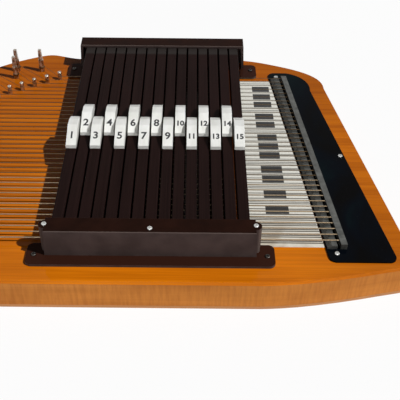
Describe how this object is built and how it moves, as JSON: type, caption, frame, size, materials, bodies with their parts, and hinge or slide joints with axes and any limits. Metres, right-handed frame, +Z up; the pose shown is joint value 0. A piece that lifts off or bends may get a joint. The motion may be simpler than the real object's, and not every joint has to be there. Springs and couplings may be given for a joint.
{
  "type": "chorded zither",
  "caption": "Flat wooden box zither with a slanted pin end, spring-returned chord bars with long keys, and metal strings over a metal bridge.",
  "frame": {"origin": "bottom centre of the box it makes, on the flat back", "axes": "+X along the strings towards the string anchor, +Y from the bass edge to the treble edge, +Z up from the back to the strings"},
  "size_m": [0.5868, 0.3272, 0.0675],
  "materials": {
    "lacquered_top": "glossy amber lacquer over veneer",
    "lacquered_back": "satin amber lacquer",
    "lacquered_side": "amber lacquer over laminated maple",
    "brace_wood": "bare spruce",
    "note_card": "cream printed card",
    "black_plate": "mirror-gloss black",
    "bridge_metal": "ribbed dull grey",
    "anchor_metal": "ribbed dull grey",
    "brown_plastic": "satin dark brown moulding",
    "comb_plastic": "dark brown moulding",
    "bar_plastic": "satin dark brown bar with grey felt beneath",
    "button_plastic": "white moulding",
    "spring_steel": "bright spring wire",
    "nickel_pins": "worn nickel plate",
    "plain_wire": "bright drawn steel",
    "wound_wire": "copper-alloy winding on a steel core",
    "screw_steel": "bright zinc plate"
  },
  "bodies": {
    "zither_body": {"soundboard": "lacquered_top", "back_plate": "lacquered_back", "pin_block": "lacquered_side", "anchor_block": "lacquered_side", "bass_rail": "lacquered_side", "treble_rail": "lacquered_side", "soundboard_braces": "brace_wood", "note_card": "note_card", "anchor_plate": "black_plate", "string_bridge": "bridge_metal", "string_anchor": "anchor_metal", "bass_cover": "brown_plastic", "treble_cover": "brown_plastic", "bass_comb": "comb_plastic", "treble_comb": "comb_plastic", "bass_springs": "spring_steel", "treble_springs": "spring_steel", "bridge_pins": "nickel_pins", "tuning_pins": "nickel_pins", "plain_strings": "plain_wire", "wound_strings": "wound_wire", "cover_screws": "screw_steel", "comb_screws": "screw_steel", "plate_screws": "screw_steel"},
    "bar_01": {"chord_bar_01": "bar_plastic", "bar_button_01": "button_plastic"},
    "bar_02": {"chord_bar_02": "bar_plastic", "bar_button_02": "button_plastic"},
    "bar_03": {"chord_bar_03": "bar_plastic", "bar_button_03": "button_plastic"},
    "bar_04": {"chord_bar_04": "bar_plastic", "bar_button_04": "button_plastic"},
    "bar_05": {"chord_bar_05": "bar_plastic", "bar_button_05": "button_plastic"},
    "bar_06": {"chord_bar_06": "bar_plastic", "bar_button_06": "button_plastic"},
    "bar_07": {"chord_bar_07": "bar_plastic", "bar_button_07": "button_plastic"},
    "bar_08": {"chord_bar_08": "bar_plastic", "bar_button_08": "button_plastic"},
    "bar_09": {"chord_bar_09": "bar_plastic", "bar_button_09": "button_plastic"},
    "bar_10": {"chord_bar_10": "bar_plastic", "bar_button_10": "button_plastic"},
    "bar_11": {"chord_bar_11": "bar_plastic", "bar_button_11": "button_plastic"},
    "bar_12": {"chord_bar_12": "bar_plastic", "bar_button_12": "button_plastic"},
    "bar_13": {"chord_bar_13": "bar_plastic", "bar_button_13": "button_plastic"},
    "bar_14": {"chord_bar_14": "bar_plastic", "bar_button_14": "button_plastic"},
    "bar_15": {"chord_bar_15": "bar_plastic", "bar_button_15": "button_plastic"}
  },
  "joints": [
    {"name": "press_01", "type": "slide", "parent": "zither_body", "child": "bar_01", "axis": [0, 0, -1], "range_m": [0, 0.0032], "stiffness_N_per_m": 260, "springref_m": -0.004},
    {"name": "press_02", "type": "slide", "parent": "zither_body", "child": "bar_02", "axis": [0, 0, -1], "range_m": [0, 0.0032], "stiffness_N_per_m": 260, "springref_m": -0.004},
    {"name": "press_03", "type": "slide", "parent": "zither_body", "child": "bar_03", "axis": [0, 0, -1], "range_m": [0, 0.0032], "stiffness_N_per_m": 260, "springref_m": -0.004},
    {"name": "press_04", "type": "slide", "parent": "zither_body", "child": "bar_04", "axis": [0, 0, -1], "range_m": [0, 0.0032], "stiffness_N_per_m": 260, "springref_m": -0.004},
    {"name": "press_05", "type": "slide", "parent": "zither_body", "child": "bar_05", "axis": [0, 0, -1], "range_m": [0, 0.0032], "stiffness_N_per_m": 260, "springref_m": -0.004},
    {"name": "press_06", "type": "slide", "parent": "zither_body", "child": "bar_06", "axis": [0, 0, -1], "range_m": [0, 0.0032], "stiffness_N_per_m": 260, "springref_m": -0.004},
    {"name": "press_07", "type": "slide", "parent": "zither_body", "child": "bar_07", "axis": [0, 0, -1], "range_m": [0, 0.0032], "stiffness_N_per_m": 260, "springref_m": -0.004},
    {"name": "press_08", "type": "slide", "parent": "zither_body", "child": "bar_08", "axis": [0, 0, -1], "range_m": [0, 0.0032], "stiffness_N_per_m": 260, "springref_m": -0.004},
    {"name": "press_09", "type": "slide", "parent": "zither_body", "child": "bar_09", "axis": [0, 0, -1], "range_m": [0, 0.0032], "stiffness_N_per_m": 260, "springref_m": -0.004},
    {"name": "press_10", "type": "slide", "parent": "zither_body", "child": "bar_10", "axis": [0, 0, -1], "range_m": [0, 0.0032], "stiffness_N_per_m": 260, "springref_m": -0.004},
    {"name": "press_11", "type": "slide", "parent": "zither_body", "child": "bar_11", "axis": [0, 0, -1], "range_m": [0, 0.0032], "stiffness_N_per_m": 260, "springref_m": -0.004},
    {"name": "press_12", "type": "slide", "parent": "zither_body", "child": "bar_12", "axis": [0, 0, -1], "range_m": [0, 0.0032], "stiffness_N_per_m": 260, "springref_m": -0.004},
    {"name": "press_13", "type": "slide", "parent": "zither_body", "child": "bar_13", "axis": [0, 0, -1], "range_m": [0, 0.0032], "stiffness_N_per_m": 260, "springref_m": -0.004},
    {"name": "press_14", "type": "slide", "parent": "zither_body", "child": "bar_14", "axis": [0, 0, -1], "range_m": [0, 0.0032], "stiffness_N_per_m": 260, "springref_m": -0.004},
    {"name": "press_15", "type": "slide", "parent": "zither_body", "child": "bar_15", "axis": [0, 0, -1], "range_m": [0, 0.0032], "stiffness_N_per_m": 260, "springref_m": -0.004}
  ]
}
